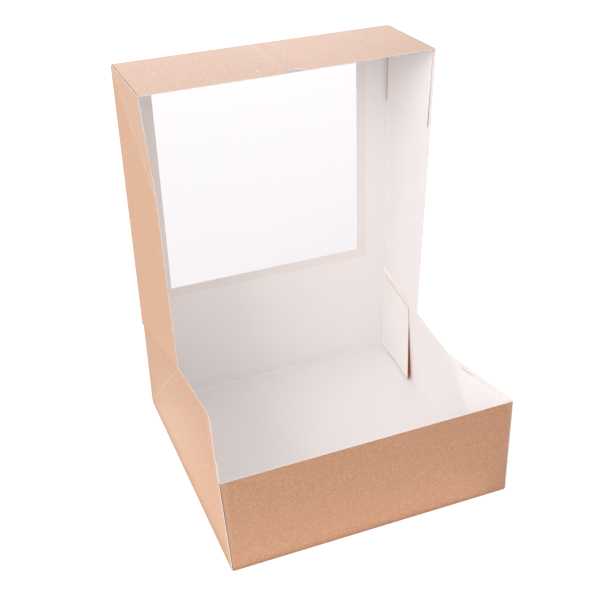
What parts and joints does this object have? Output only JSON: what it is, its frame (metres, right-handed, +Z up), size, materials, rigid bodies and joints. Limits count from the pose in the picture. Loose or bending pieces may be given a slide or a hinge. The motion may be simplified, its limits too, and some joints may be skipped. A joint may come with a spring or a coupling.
{
  "type": "windowed bakery box",
  "caption": "Shallow square box folded from kraft board, with glued corner flaps, a hinged lid that has a clear film window, and a half-round thumb notch.",
  "frame": {"origin": "centre of the tray's underside, on the surface that the box stands on", "axes": "+X to the right along the hinge crease, +Y from the front wall to the hinge, +Z up"},
  "size_m": [0.2778, 0.2766, 0.376],
  "materials": {
    "board": "matte",
    "film": "gloss"
  },
  "bodies": {
    "tray": {"tray": "board"},
    "lid": {"lid": "board", "window_film": "film"}
  },
  "joints": [
    {"name": "lid_hinge", "type": "hinge", "parent": "tray", "child": "lid", "pos_m": [0, 0.13425, 0.1006], "axis": [1, 0, 0], "range_deg": [-88.4, 91.6]}
  ]
}
